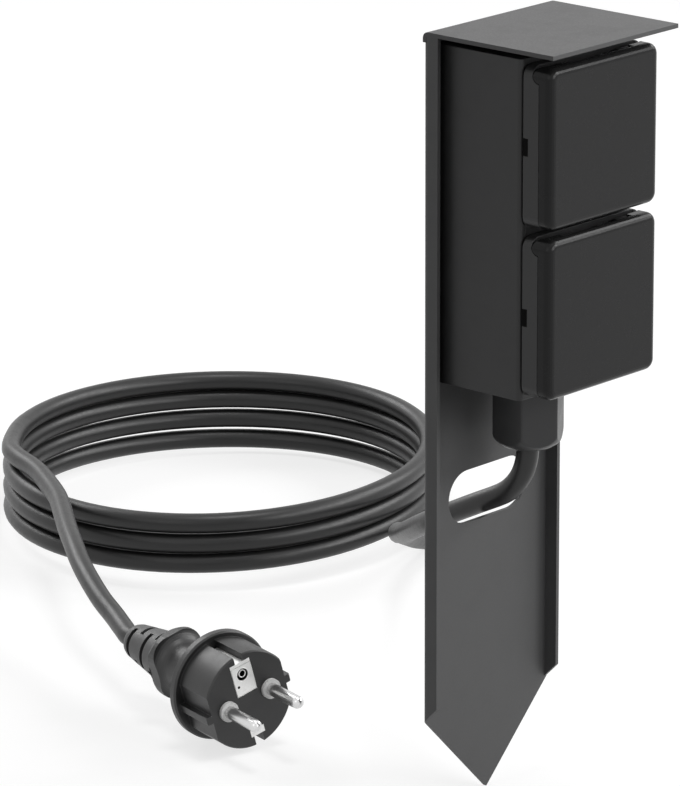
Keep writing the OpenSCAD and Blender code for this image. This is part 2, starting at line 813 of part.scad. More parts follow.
module gland_lock_nut() {
    color([0.15, 0.15, 0.16]) translate([0, -gland_y, box_z + box_wall]) difference() {
        hexagon_bar(nut_af, nut_t);
        translate([0, 0, -cut]) cylinder(r = gland_thread_r + play, h = nut_t + 2 * cut);
    }
}

// Rubber sleeve that grips the cord
module gland_seal() {
    color([0.06, 0.06, 0.06]) translate([0, -gland_y, neck_z - 2]) difference() {
        cylinder(r = seal_r, h = seal_l + 1.5);
        translate([0, 0, -cut]) cylinder(r = cord_r + slip, h = seal_l + 1.5 + 2 * cut);
    }
}

// Hexagonal cap with a domed lower end
module gland_cap() {
    steps = 7;
    rim_r = gland_af / 2 / cos(30);
    mouth_r = cap_hole_r + 1.6;
    dome = [
        for (k = [0:steps])
            let (a = 90 - 90 * k / steps)
                [mouth_r + (rim_r + 0.4 - mouth_r) * cos(a), cap_dome_h * (1 - sin(a))]
    ];
    color([0.17, 0.17, 0.18]) translate([0, -gland_y, cap_z]) difference() {
        intersection() {
            hexagon_bar(gland_af, gland_cap_h);
            rotate_extrude() polygon([[0, 0], each dome, [rim_r + 0.4, gland_cap_h], [0, gland_cap_h]]);
        }
        translate([0, 0, neck_z - cap_z - 3]) cylinder(r = neck_r + slip, h = gland_cap_h);
        translate([0, 0, -cut]) cylinder(r = cap_hole_r, h = gland_cap_h);
    }
}

// Oval coil of the cord
coil_side = [cos(coil_turn), sin(coil_turn), 0];
coil_ahead = [-sin(coil_turn), cos(coil_turn), 0];
function coil_point(turn) =
    [coil_centre[0], coil_centre[1], cord_r + coil_pitch * turn]
    + coil_across * cos(360 * turn) * coil_side + coil_along * sin(360 * turn) * coil_ahead;
coil_start = coil_point(0);
coil_end = coil_point(coil_turns);
coil_first = coil_ahead;
coil_last = -coil_ahead;
coil_in = coil_start - cord_d * coil_first;
coil_out = coil_end + cord_d * coil_last;
module cord_coil() {
    loops = [for (i = [0:coil_turns * rings_a_turn]) coil_point(i / rings_a_turn)];
    route = concat([coil_in], loops, [coil_out]);
    echo(str("least gap of the coil to itself ", least_gap(loops, rings_a_turn / 2, cord_r)));
    color([0.13, 0.13, 0.13]) tube(route, cord_r, coil_sides, coil_first, coil_last, [0, 0, 1]);
}

// Free stretch from the gland, through the slot and down to the coil, which follows the gland's height
gland_line = [
    [0, -gland_y, 160.2], [0, -gland_y, 145], [0, -gland_y, 129], [0, -19, 123], [0, -15, 116.5],
    [0, -8, 111], [0, 3, 105.5], [1, 15, 99.5], [4, 27, 93.5], [11, 39, 87.3], [22, 53.5, 79.8],
    [38, 71, 71], [60, 93, 61], [85, 115, 50.5], [110, 136, 40], [128, 151.5, 32.5], [142.5, 164, 26],
    [158.5, 175.5, 19], [175, 184.5, 11.8], [186.5, 189.5, 7.8], [197.5, 195.5, 5.4], [207, 202.5, 4.4],
    [214, 210, 4]
];
lift = cap_z - 131.2;
gland_route = [for (p = gland_line) [p[0], p[1], p[2] + lift * min(1, (p[2] - cord_r) / 95.5)]];
module cord_from_gland() {
    color([0.13, 0.13, 0.13])
        tube(concat(gland_route, [coil_in]), cord_r, cord_sides, [0, 0, -1], coil_first, [1, 0, 0]);
}

// Free stretch from the coil to the plug
plug_route = [
    [98, 335, 35.2], [87, 311, 35.6], [77, 294, 35.3], [67, 279, 35], [55, 264.5, 34.5], [42, 249, 33.6],
    [31, 235, 32.6], [22, 223, 31], [13, 209, 28.6], [5, 195, 26], [-1.5, 182, 24], [-7.3, 171.8, 22.9]
];
plug_dir = [
    sin(plug_turn) * cos(plug_slope), -cos(plug_turn) * cos(plug_slope), -sin(plug_slope)
];
module cord_to_plug() {
    entry = plug_face - (plug_l + 4) * plug_dir;
    cord_end = plug_face - cord_end_y * plug_dir;
    color([0.13, 0.13, 0.13])
        tube(concat([coil_out], plug_route, [entry, cord_end]), cord_r, cord_sides, coil_last, plug_dir, [0, 0, 1]);
}

// Everything on the plug is drawn with its face on y = 0 and its pins towards -Y
module at_plug() {
    translate(plug_face) rotate([0, 0, plug_turn]) rotate([plug_slope, 0, 0]) rotate([0, plug_roll, 0]) children();
}

// A solid of revolution along +Y from [radius, depth] points
module turned(profile) {
    rotate([-90, 0, 0]) rotate_extrude() polygon(profile);
}

// A bar along Y on the plug, at x and z
module plug_bar(r, y0, y1, x, z) {
    translate([x, y0, z]) rotate([-90, 0, 0]) cylinder(r = r, h = y1 - y0);
}

// A block on the plug, centred on x = 0
module plug_block(w, y0, y1, z0, z1) {
    translate([-w / 2, y0, z0]) cube([w, y1 - y0, z1 - z0]);
}

// Plug body: drum with two contact grooves and side guides, rim, and a waist that flares to the grip
module plug_body() {
    color([0.20, 0.20, 0.21]) at_plug() {
        difference() {
            union() {
                turned([
                    [0, 0], [drum_r - 0.5, 0], [drum_r, 0.5], [drum_r, plug_face_d], [rim_r - 0.6, plug_face_d],
                    [rim_r, plug_face_d + 0.6], [rim_r, plug_face_d + rim_t - 0.6],
                    [rim_r - 0.6, plug_face_d + rim_t], [0, plug_face_d + rim_t]
                ]);
                plug_grip();
            }
            plug_block(groove_w, -cut, plug_face_d, strip_top - strip_t - play, rim_r);
            plug_block(groove_w, -cut, plug_face_d, -rim_r, -low_strip_z + strip_t + play);
            for (side = [-1, 1]) {
                side_guides(side);
                plug_bar(pin_collar_r + play, -cut, 3.5, side * pin_pitch / 2, 0);
                plug_bar(pin_root_r + play, 0, pin_root_l + 1, side * pin_pitch / 2, 0);
            }
            plug_block(earth_plate_w + 2 * play, -cut, strip_t, earth_plate_z - play, strip_top + play);
            plug_block(low_plate_w + 2 * play, -cut, strip_t, -low_strip_z - play, -low_plate_z + play);
            plug_bar(earth_pin_r + 0.3, 0, pin_root_l, 0, earth_pin_z);
            plug_bar(relief_hole_r + 1.6, plug_face_d + rim_t + 5, plug_l, 0, 0);
        }
    }
}

// Waist behind the rim that flares out to a grip with round corners
module plug_grip() {
    steps = 8;
    start_y = plug_face_d + rim_t - play;
    flare = 4.6;
    flare_l = 5;
    waist = [
        for (k = [0:steps])
            let (s = k / steps)
                [waist_r + 4 * pow(1 - s, 3), start_y + (grip_y - flare_l - start_y) * s],
        for (k = [1:steps])
            let (a = 90 * k / steps)
                [waist_r + flare * (1 - cos(a)), grip_y - flare_l + flare_l * sin(a)]
    ];
    intersection() {
        turned([
            [0, start_y], each waist, [waist_r + flare, grip_y + 1.5], [waist_r + flare - 1, relief_y - 1],
            [waist_r + flare - 2.4, relief_y], [0, relief_y]
        ]);
        translate([0, relief_y + cut, 0]) rotate([90, 0, 0])
            linear_extrude(relief_y - start_y + 2 * cut) polygon(round_rect(grip_w, grip_h, grip_corner_r));
    }
}

// The flats beside a guide rib, on one side of the drum
module side_guides(side) {
    x0 = side > 0 ? flat_x : -rim_r;
    for (half = [-1, 1])
        translate([x0, -cut, half > 0 ? guide_w / 2 : -drum_r / 2 - guide_w / 2])
            cube([rim_r - flat_x, plug_face_d + cut, drum_r / 2]);
}

// Plug's earth contact: a plate with a pin socket in the face, and a clip in each groove
earth_plate_w = 8.7;
earth_plate_z = 2.9;
low_plate_w = 6;
low_plate_z = 12;
strip_t = 0.8;
strip_w = groove_w - 0.4;
strip_top = drum_r - 2.95;
low_strip_z = drum_r - 3.95;
earth_pin_r = 2.45;
earth_pin_z = 10.8;
module plug_earth_contact() {
    color([0.86, 0.86, 0.84]) at_plug() {
        difference() {
            union() {
                plug_block(earth_plate_w, 0, strip_t, earth_plate_z, strip_top);
                plug_block(strip_w, 0, plug_face_d - 1, strip_top - strip_t, strip_top);
            }
            plug_bar(earth_pin_r, -cut, 2 * strip_t, 0, earth_pin_z);
        }
        plug_block(low_plate_w, 0, strip_t, -low_strip_z, -low_plate_z);
        plug_block(strip_w, 0, plug_face_d - 1, -low_strip_z, -low_strip_z + strip_t);
    }
}

// Turned pins with round ends, whose thinner roots are set in the body
module plug_pins() {
    r = pin_d / 2;
    steps = 6;
    shoulder = -pin_collar_h - play;
    color([0.80, 0.80, 0.82]) at_plug() for (side = [-1, 1])
        translate([side * pin_pitch / 2, 0, 0]) turned([
            for (k = [0:steps]) [r * sin(90 * k / steps), -plug_pin_l + r * (1 - cos(90 * k / steps))],
            [r, shoulder], [pin_root_r, shoulder], [pin_root_r, pin_root_l], [0, pin_root_l]
        ]);
}

// Raised collars round the roots of the pins
module plug_pin_collars() {
    color([0.88, 0.88, 0.86]) at_plug() for (side = [-1, 1])
        difference() {
            plug_bar(pin_collar_r, -pin_collar_h, 3.3, side * pin_pitch / 2, 0);
            plug_bar(pin_root_r + play, -2 * pin_collar_h, 4, side * pin_pitch / 2, 0);
        }
}

// Tapered strain relief, with ring slits that change sides from row to row
module plug_strain_relief() {
    slit = 2.3;
    slit_span = 102;
    slit_turn = 58;
    rows = 4;
    first_row = relief_y + 3.5;
    row_step = (plug_l - first_row - 4.6) / (rows - 1);
    color([0.30, 0.30, 0.31]) at_plug() difference() {
        union() {
            turned([
                [0, relief_y], [relief_r + 1.2, relief_y], [relief_r, relief_y + 2.2],
                [relief_end_r + 0.5, plug_l - 2], [relief_end_r, plug_l - 0.5], [relief_end_r - 0.6, plug_l],
                [0, plug_l]
            ]);
            plug_bar(relief_hole_r + 1.5, relief_y - 16, relief_y + play, 0, 0);
        }
        plug_bar(relief_hole_r, relief_y - 20, plug_l + cut, 0, 0);
        for (row = [0:rows - 1])
            for (side = [0, 1])
                slit_ring(first_row + row_step * row, slit, slit_span, slit_turn + 90 * (row % 2) + 180 * side);
    }
}

// The part of a ring slit round one side of the relief
module slit_ring(y, width, span, middle) {
    reach = 3 * relief_r;
    intersection() {
        difference() {
            plug_bar(relief_r + 2, y - width / 2, y + width / 2, 0, 0);
            plug_bar(relief_hole_r + 1, y - width, y + width, 0, 0);
        }
        rotate([0, -middle, 0]) translate([0, y + width, 0]) rotate([90, 0, 0]) linear_extrude(2 * width)
            polygon([
                [0, 0], [reach * cos(span / 2), reach * sin(span / 2)], [reach, 0],
                [reach * cos(span / 2), -reach * sin(span / 2)]
            ]);
    }
}

ground_post();
box_screws();
socket_box();
front_plate();
upper_frame_gasket();
lower_frame_gasket();
upper_frame();
lower_frame();
frame_screws();
upper_lid();
lower_lid();
upper_lid_seal();
lower_lid_seal();
upper_hinge_pin();
lower_hinge_pin();
upper_lid_spring();
lower_lid_spring();
upper_socket_insert();
lower_socket_insert();
upper_earth_clip();
lower_earth_clip();
upper_contacts();
lower_contacts();
terminal_screws();
live_wire();
neutral_wire();
earth_wire();
gland_body();
gland_washer();
gland_lock_nut();
gland_seal();
gland_cap();
cord_from_gland();
cord_coil();
cord_to_plug();
plug_body();
plug_strain_relief();
plug_pins();
plug_pin_collars();
plug_earth_contact();
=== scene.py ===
# Garden power socket on a folded ground stake: finishes, cord, springs, light and camera.
# Metres, +Z up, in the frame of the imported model.
import json
import math

import bmesh
import bpy
from mathutils import Matrix, Vector


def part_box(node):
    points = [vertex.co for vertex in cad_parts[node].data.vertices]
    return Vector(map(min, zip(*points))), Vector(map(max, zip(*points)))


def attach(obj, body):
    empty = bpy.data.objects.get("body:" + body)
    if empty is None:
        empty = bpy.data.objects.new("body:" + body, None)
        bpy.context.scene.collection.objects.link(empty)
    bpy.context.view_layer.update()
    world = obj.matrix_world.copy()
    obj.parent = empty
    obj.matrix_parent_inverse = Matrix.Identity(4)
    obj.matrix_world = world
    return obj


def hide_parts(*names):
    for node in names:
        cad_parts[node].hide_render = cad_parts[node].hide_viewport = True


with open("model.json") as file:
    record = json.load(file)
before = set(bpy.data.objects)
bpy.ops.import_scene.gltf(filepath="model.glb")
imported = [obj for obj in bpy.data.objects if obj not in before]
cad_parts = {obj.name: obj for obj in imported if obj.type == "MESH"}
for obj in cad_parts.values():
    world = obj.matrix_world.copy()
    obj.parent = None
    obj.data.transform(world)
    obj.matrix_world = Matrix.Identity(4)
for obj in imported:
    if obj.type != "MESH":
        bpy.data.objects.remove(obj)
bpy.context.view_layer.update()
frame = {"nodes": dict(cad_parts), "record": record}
MM = 0.001

# Camera at the photograph's viewing angle, for a picture of 680 by 786
CAMERA_PLACE = (-1.5052, -1.2839, 0.7241)
CAMERA_TURN = (math.radians(73.724), math.radians(0.157), math.radians(-48.105))
CAMERA_LENS = 267.99

# The mains cord from inside the box to its coil, in millimetres: the gland, the slot, then the floor
CORD_R = 4.0
GLAND_Y = -20.0
FROM_GLAND = [
    (0, -20, 160.2), (0, -20, 145), (0, -20, 136), (0, -20, 131.2), (0, -19.4, 126.1), (0, -17.8, 121.3),
    (0, -15.1, 117), (0, -11.6, 113.4), (0, -7.3, 110.6), (0, 3, 105.5), (1, 15, 99.5), (4, 27, 93.5),
    (11, 39, 87.3), (22, 53.5, 79.8), (38, 71, 71), (60, 93, 61), (85, 115, 50.5), (110, 136, 40),
    (128, 151.5, 32.5), (142.5, 164, 26), (158.5, 175.5, 19), (175, 184.5, 11.8), (186.5, 189.5, 7.8),
    (197.5, 195.5, 5.4), (207, 202.5, 4.4), (214, 210, 4),
]

# The oval coil: its middle, half widths and turn, how far its right side leans back, and its rise by turns
COIL_CENTRE = (168.9, 285.8)
COIL_ACROSS = 85.5
COIL_ALONG = 94
COIL_TURN = math.radians(-48)
COIL_LEAN = 13
COIL_TURNS = 3.5
TURN_STEPS = 24
COIL_RISE = (
    (0, 0), (0.25, 2), (0.75, 7), (1.25, 11), (1.75, 15.1), (2.25, 19.6), (2.75, 23.4), (3.25, 27.6),
    (3.5, 29.8),
)

# From the coil to the plug, and the plug's face and turn
TO_PLUG = [
    (99.5, 336.5, 34.2), (88, 312, 34.7), (77.5, 294.5, 34.6), (67, 279, 34.5), (55, 264.5, 34.2),
    (42, 249, 33.5), (31, 235, 32.6), (22, 223, 31), (13, 209, 28.6), (5, 195, 26), (-1.5, 182, 24),
    (-7.3, 171.8, 22.9),
]
PLUG_FACE = Vector((-30.6, 85.9, 20.41))
PLUG_TURN = math.radians(-13.7)
PLUG_SLOPE = math.radians(1.3)
PLUG_ROLL = math.radians(-16.4)
PLUG_AHEAD = Vector((-0.236777, -0.971299, -0.022687))
PLUG_LENGTH = 76
PLUG_CORD_END = 40.5
EARTH_HOLE_HEIGHT = 10.8

# Heights of the two sockets, and the lids' hinge line in front of the stake
SOCKET_HEIGHTS = {"upper": 247.8, "lower": 187.8}
HINGE_DEPTH = -48.2
HINGE_RISE = 25.6

# The springs round the hinge pins, and the cores from the cord's end up to their terminals
SPRING_R = 1.7
SPRING_WIRE = 0.7
SPRING_STEP = 1.15
SPRING_START_X = 4.6
SPRING_TURNS = 5
SPRING_LEG = 3.0
CORE_R = 1.15
CORE_SPREAD = 2.1
CORE_START_Z = 160.2
CORE_APART_Z = 169.8
CORE_BEND_BELOW_SOCKET = 7.8
CORE_STRAIGHT_Z = 197.8

# Dark tongues in the frames' side notches, painted shade that makes the notches look deep and black: size,
# and place beside and in front of the stake
SHADE_TONGUE_SIZE = (1.6, 2.1, 6.2)
SHADE_TONGUE_SIDE = 28.45
SHADE_TONGUE_DEPTH = -42.4

# Colour of dust, fine enough to lighten a surface a little
DUST_COLOUR = (0.42, 0.41, 0.39)

# Floor, surround and what the lamps are aimed at
FLOOR_GREY = 0.35
FLOOR_GLOW = 0.72
FLOOR_DROP = 0.0002
SURROUND_FILL = 0.1
LAMP_AIM = (0, 0, 0.15)


def put_in_scene(name, mesh, body):
    """Makes an object of a finished mesh, riding on one body of the model."""
    piece = bpy.data.objects.new(name, mesh)
    bpy.context.scene.collection.objects.link(piece)
    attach(piece, body)
    return piece


def dressed(piece, material):
    """Gives a piece one material."""
    piece.data.materials.clear()
    piece.data.materials.append(material)
    return piece


def smooth_route(points, steps):
    """A smooth line through the points of a route, a few steps to each span."""
    places = [Vector(p) for p in points]
    line = []
    for i in range(len(places) - 1):
        before = places[max(i - 1, 0)]
        start, end = places[i], places[i + 1]
        after = places[min(i + 2, len(places) - 1)]
        span = (end - start).length
        lead_in = (end - before).normalized() * span
        lead_out = (after - start).normalized() * span
        for k in range(steps):
            t = k / steps
            line.append(
                start * (2 * t ** 3 - 3 * t ** 2 + 1) + lead_in * (t ** 3 - 2 * t ** 2 + t)
                + end * (3 * t ** 2 - 2 * t ** 3) + lead_out * (t ** 3 - t ** 2)
            )
    line.append(places[-1])
    return line


def drawn_round(name, line, radius, roundness):
    """A mesh of even round section drawn along a line of points in millimetres."""
    curve = bpy.data.curves.new(name + "_line", "CURVE")
    curve.dimensions = "3D"
    curve.bevel_depth = radius * MM
    curve.bevel_resolution = roundness
    curve.use_fill_caps = True
    spline = curve.splines.new("POLY")
    spline.points.add(len(line) - 1)
    for point, place in zip(spline.points, line):
        point.co = (place[0] * MM, place[1] * MM, place[2] * MM, 1)
    holder = bpy.data.objects.new(name + "_line", curve)
    bpy.context.scene.collection.objects.link(holder)
    bpy.context.view_layer.update()
    mesh = bpy.data.meshes.new_from_object(holder)
    mesh.name = name
    bpy.data.objects.remove(holder)
    bpy.data.curves.remove(curve)
    tidy = bmesh.new()
    tidy.from_mesh(mesh)
    bmesh.ops.remove_doubles(tidy, verts=tidy.verts, dist=0.02 * MM)
    bmesh.ops.recalc_face_normals(tidy, faces=tidy.faces)
    for face in tidy.faces:
        face.smooth = len(face.verts) < 5
    tidy.to_mesh(mesh)
    tidy.free()
    return mesh


# The camera comes first, then the cord
def set_up_camera():
    """A long lens, so that the picture's lines run nearly parallel."""
    camera_data = bpy.data.cameras.new("viewing_camera")
    camera_data.lens = CAMERA_LENS
    camera_data.sensor_width = 36
    camera_data.clip_start = 0.05
    camera_data.clip_end = 20
    camera = bpy.data.objects.new("viewing_camera", camera_data)
    camera.location = CAMERA_PLACE
    camera.rotation_euler = CAMERA_TURN
    bpy.context.scene.collection.objects.link(camera)
    bpy.context.scene.camera = camera


def coil_rise(turn):
    """The height that the coil has reached; its turns lie on each other, some a little apart."""
    for (before, low), (after, high) in zip(COIL_RISE, COIL_RISE[1:]):
        if turn <= after:
            return low + (high - low) * (turn - before) / (after - before)
    return COIL_RISE[-1][1]


def coil_place(turn):
    """The cord's place after so many turns of the oval coil, which leans back at its right side."""
    side = Vector((math.cos(COIL_TURN), math.sin(COIL_TURN), 0))
    ahead = Vector((-math.sin(COIL_TURN), math.cos(COIL_TURN), 0))
    angle = 2 * math.pi * turn
    lean = COIL_LEAN * (0.5 + 0.5 * math.cos(angle)) ** 2
    middle = Vector((COIL_CENTRE[0], COIL_CENTRE[1], CORD_R + coil_rise(turn)))
    return middle + side * COIL_ACROSS * math.cos(angle) + ahead * (COIL_ALONG * math.sin(angle) + lean)


def lay_out_cord():
    """The whole cord in one line: from the gland, round the coil and into the plug."""
    turns = [coil_place(i / TURN_STEPS) for i in range(round(COIL_TURNS * TURN_STEPS) + 1)]
    entry = PLUG_FACE - PLUG_AHEAD * (PLUG_LENGTH + 4)
    cord_end = PLUG_FACE - PLUG_AHEAD * PLUG_CORD_END
    return smooth_route(FROM_GLAND + turns + TO_PLUG + [entry, cord_end], 4)


set_up_camera()
cord_line = lay_out_cord()
cord_mesh = drawn_round("mains_cord", cord_line, CORD_R, 5)
mains_cord = put_in_scene("mains_cord", cord_mesh, "post")
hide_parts("cord_from_gland", "cord_coil", "cord_to_plug")


# Torsion springs on the hinge pins, and the coloured cores inside the box
def lid_spring_line(height):
    """A torsion spring's wire: a short leg, its turns round the hinge line and a longer leg."""
    axis = Vector((0, HINGE_DEPTH, height + HINGE_RISE))
    line = [axis + Vector((SPRING_START_X, -SPRING_WIRE * back, -SPRING_R)) for back in (1.4, 0.7)]
    for i in range(SPRING_TURNS * TURN_STEPS + 1):
        turn = i / TURN_STEPS
        angle = 2 * math.pi * i / TURN_STEPS
        x = SPRING_START_X + SPRING_STEP * turn
        line.append(axis + Vector((x, SPRING_R * math.sin(angle), -SPRING_R * math.cos(angle))))
    line.append(line[-1] + Vector((0, SPRING_LEG, 0)))
    return line


def make_springs():
    """The closing spring of each lid."""
    pieces = []
    for row, height in SOCKET_HEIGHTS.items():
        mesh = drawn_round(row + "_closing_spring", lid_spring_line(height), SPRING_WIRE / 2, 3)
        piece = put_in_scene(row + "_closing_spring", mesh, "post")
        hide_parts(row + "_lid_spring")
        pieces.append(piece)
    return pieces


def core_line(node, start_angle, x, depth):
    """The way of one core, from the cord's end up to its terminals."""
    low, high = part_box(node)
    angle = math.radians(start_angle)
    out = Vector((CORE_SPREAD * math.cos(angle), CORE_SPREAD * math.sin(angle), 0))
    start = Vector((0, GLAND_Y, CORE_START_Z)) + out
    bend_z = SOCKET_HEIGHTS["lower"] - CORE_BEND_BELOW_SOCKET
    middle = Vector(((start.x + x) / 2, (start.y - depth) / 2, (CORE_APART_Z + bend_z) / 2))
    line = [start, start + Vector((0, 0, 5)), Vector((start.x, start.y, CORE_APART_Z)), middle]
    for z in (bend_z, bend_z + 3, CORE_STRAIGHT_Z, high[2] / MM):
        line.append(Vector((x, -depth, z)))
    return line


# name, node, start round the cord's middle, x and depth of the terminals, slot
CORES = (
    ("brown_core", "live_wire", 20, 9.5, 11.5, "live_insulation"),
    ("blue_core", "neutral_wire", 160, -9.5, 11.5, "neutral_insulation"),
    ("striped_core", "earth_wire", 270, 0, 23.9, "earth_insulation"),
)


def make_cores():
    """The three cores, by name."""
    pieces = {}
    for name, node, start_angle, x, depth, slot_name in CORES:
        line = smooth_route(core_line(node, start_angle, x, depth), 6)
        piece = put_in_scene(name, drawn_round(name, line, CORE_R, 4), "post")
        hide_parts(node)
        pieces[name] = piece
    return pieces


springs = make_springs()
cores = make_cores()


# Small forms of the plug's face, one a dark disc of painted shade, and dark tongues of painted shade in the
# frames' side notches
def in_plug():
    """The plug's own axes: across its face, back along its body and up its face."""
    turn = Matrix.Rotation(PLUG_TURN, 4, "Z")
    slope = Matrix.Rotation(PLUG_SLOPE, 4, "X")
    roll = Matrix.Rotation(PLUG_ROLL, 4, "Y")
    return Matrix.Translation(PLUG_FACE * MM) @ turn @ slope @ roll @ Matrix.Scale(MM, 4)


def mesh_of(shape, name, place, smooth=False):
    """Turns a worked bmesh into a mesh in its place."""
    bmesh.ops.transform(shape, matrix=place, verts=shape.verts)
    bmesh.ops.recalc_face_normals(shape, faces=shape.faces)
    for face in shape.faces:
        face.smooth = smooth
    mesh = bpy.data.meshes.new(name)
    shape.to_mesh(mesh)
    shape.free()
    return mesh


def soften(shape, edges, width, segments):
    """Rounds the given edges of a small form."""
    bmesh.ops.bevel(
        shape, geom=edges, offset=width, offset_type="OFFSET", affect="EDGES", segments=segments, profile=0.5,
        material=-1,
    )


def make_plate_border():
    """The raised and bevelled border round the earth plate, set a little into the plate."""
    half_width, low, high, band, rise, set_in = 4.3, 2.95, 14.5, 0.95, 0.35, 0.05
    shape = bmesh.new()
    corners = ((-half_width, low), (half_width, low), (half_width, high), (-half_width, high))
    face = shape.faces.new([shape.verts.new((x, set_in, z)) for x, z in corners])
    bmesh.ops.inset_region(shape, faces=[face], thickness=band, use_boundary=True, use_even_offset=True)
    bmesh.ops.delete(shape, geom=[face], context="FACES")
    made = bmesh.ops.extrude_face_region(shape, geom=shape.faces[:])
    front = [item for item in made["geom"] if isinstance(item, bmesh.types.BMVert)]
    bmesh.ops.translate(shape, verts=front, vec=(0, -rise - set_in, 0))
    edges = [e for e in shape.edges if all(v in front for v in e.verts) and len(e.link_faces) == 2]
    edges = [e for e in edges if e.calc_face_angle(0) > 1]
    soften(shape, edges, 0.2, 3)
    return mesh_of(shape, "earth_plate_border", in_plug())


def make_ring(name, radius, wire, across, depth):
    """A ring of round wire about the earth contact's hole, spun from a small circle."""
    shape = bmesh.new()
    made = bmesh.ops.create_circle(shape, segments=12, radius=wire)
    upright = Matrix.Rotation(math.pi / 2, 3, "Z")
    bmesh.ops.rotate(shape, verts=shape.verts, cent=(0, 0, 0), matrix=upright)
    bmesh.ops.translate(shape, verts=shape.verts, vec=(radius, 0, 0))
    bmesh.ops.spin(
        shape, geom=made["verts"] + shape.edges[:], cent=(0, 0, 0), axis=(0, 1, 0), angle=2 * math.pi,
        steps=40, use_merge=True,
    )
    bmesh.ops.translate(shape, verts=shape.verts, vec=(across, depth, EARTH_HOLE_HEIGHT))
    return mesh_of(shape, name, in_plug(), smooth=True)


def make_dimple_shade():
    """A thin dark disc of painted shade, in place of the small hollow in the corner of the earth plate."""
    foot_r, top_r, thickness, across, proud, height = 0.55, 0.42, 0.05, -2.75, 0.02, 6.6
    shape = bmesh.new()
    bmesh.ops.create_cone(shape, cap_ends=True, segments=20, radius1=foot_r, radius2=top_r, depth=thickness)
    soften(shape, [e for e in shape.edges if all(v.co.z > 0 for v in e.verts)], 0.015, 2)
    placed = Matrix.Translation((across, -proud, height)) @ Matrix.Rotation(math.pi / 2, 4, "X")
    return mesh_of(shape, "plate_dimple_shade", in_plug() @ placed)


def make_notch_shade_tab(row, side):
    """A dark tongue in a frame's side notch: painted shade that makes the notch look deep and black."""
    shape = bmesh.new()
    bmesh.ops.create_cube(shape, size=1)
    bmesh.ops.scale(shape, verts=shape.verts, vec=SHADE_TONGUE_SIZE)
    soften(shape, shape.edges[:], 0.12, 2)
    place = Matrix.Translation((side * SHADE_TONGUE_SIDE, SHADE_TONGUE_DEPTH, SOCKET_HEIGHTS[row]))
    name = row + ("_left" if side < 0 else "_right") + "_notch_shade_tongue"
    return mesh_of(shape, name, Matrix.Scale(MM, 4) @ place)


def make_plug_forms():
    """The small forms on the plug's earth contact, each with its finish."""
    made = []
    for mesh, slot_name, finish in (
        (make_plate_border(), "earth_metal", "bright_metal"),
        (make_ring("earth_hole_ring", radius=1.35, wire=0.22, across=0.35, depth=0.75),
         "earth_metal", "earth_metal"),
        (make_ring("earth_hole_lip", radius=2.5, wire=0.16, across=0, depth=-0.02),
         "earth_metal", "earth_metal"),
        # The dark disc is painted shade for the plate's small hollow
        (make_dimple_shade(), "seal_rubber", "painted_shade_black"),
    ):
        made.append((put_in_scene(mesh.name, mesh, "post"), finish))
    return made


def make_notch_shade_tabs():
    """The dark tongues of painted shade in the side notches of both frames, each with its finish."""
    made = []
    for row in SOCKET_HEIGHTS:
        for side in (-1, 1):
            mesh = make_notch_shade_tab(row, side)
            made.append((put_in_scene(mesh.name, mesh, "post"), "painted_shade_black"))
    return made


plug_forms = make_plug_forms()
# Dark tongues of painted shade for the frames' side notches
notch_shade_tabs = make_notch_shade_tabs()


# Node groups that more than one finish uses
def new_group(name, inputs, outputs):
    """A shader group with named inputs and outputs."""
    group = bpy.data.node_groups.new(name, "ShaderNodeTree")
    for label, kind, value in inputs:
        socket = group.interface.new_socket(name=label, in_out="INPUT", socket_type=kind)
        socket.default_value = value
    for label, kind in outputs:
        group.interface.new_socket(name=label, in_out="OUTPUT", socket_type=kind)
    return group, group.nodes.new("NodeGroupInput"), group.nodes.new("NodeGroupOutput")


def maths(tree, operation, first, second=None, third=None):
    """A Math node with values or links for its inputs."""
    node = tree.nodes.new("ShaderNodeMath")
    node.operation = operation
    for socket, value in zip(node.inputs, (first, second, third)):
        if value is None:
            continue
        if isinstance(value, (int, float)):
            socket.default_value = value
        else:
            tree.links.new(value, socket)
    return node.outputs[0]


def noise(tree, place, scale, detail, roughness):
    """A noise pattern at a place, as a value."""
    node = tree.nodes.new("ShaderNodeTexNoise")
    tree.links.new(place, node.inputs["Vector"])
    if isinstance(scale, (int, float)):
        node.inputs["Scale"].default_value = scale
    else:
        tree.links.new(scale, node.inputs["Scale"])
    node.inputs["Detail"].default_value = detail
    node.inputs["Roughness"].default_value = roughness
    return node.outputs["Fac"]


def object_place(tree):
    """Each point's place on its object, in metres."""
    return tree.nodes.new("ShaderNodeTexCoord").outputs["Object"]


def mixed_colour(tree, factor, first, second):
    """One colour laid over another by a mask."""
    node = tree.nodes.new("ShaderNodeMix")
    node.data_type = "RGBA"
    tree.links.new(factor, node.inputs["Factor"])
    for socket, value in ((node.inputs[6], first), (node.inputs[7], second)):
        if isinstance(value, tuple):
            socket.default_value = (*value, 1)
        else:
            tree.links.new(value, socket)
    return node.outputs[2]


def value_range(tree, value, low, high, out_low=0.0, out_high=1.0):
    """A value stretched from one range to another, and held inside it."""
    node = tree.nodes.new("ShaderNodeMapRange")
    tree.links.new(value, node.inputs["Value"])
    for label, number in (("From Min", low), ("From Max", high), ("To Min", out_low), ("To Max", out_high)):
        node.inputs[label].default_value = number
    return node.outputs["Result"]


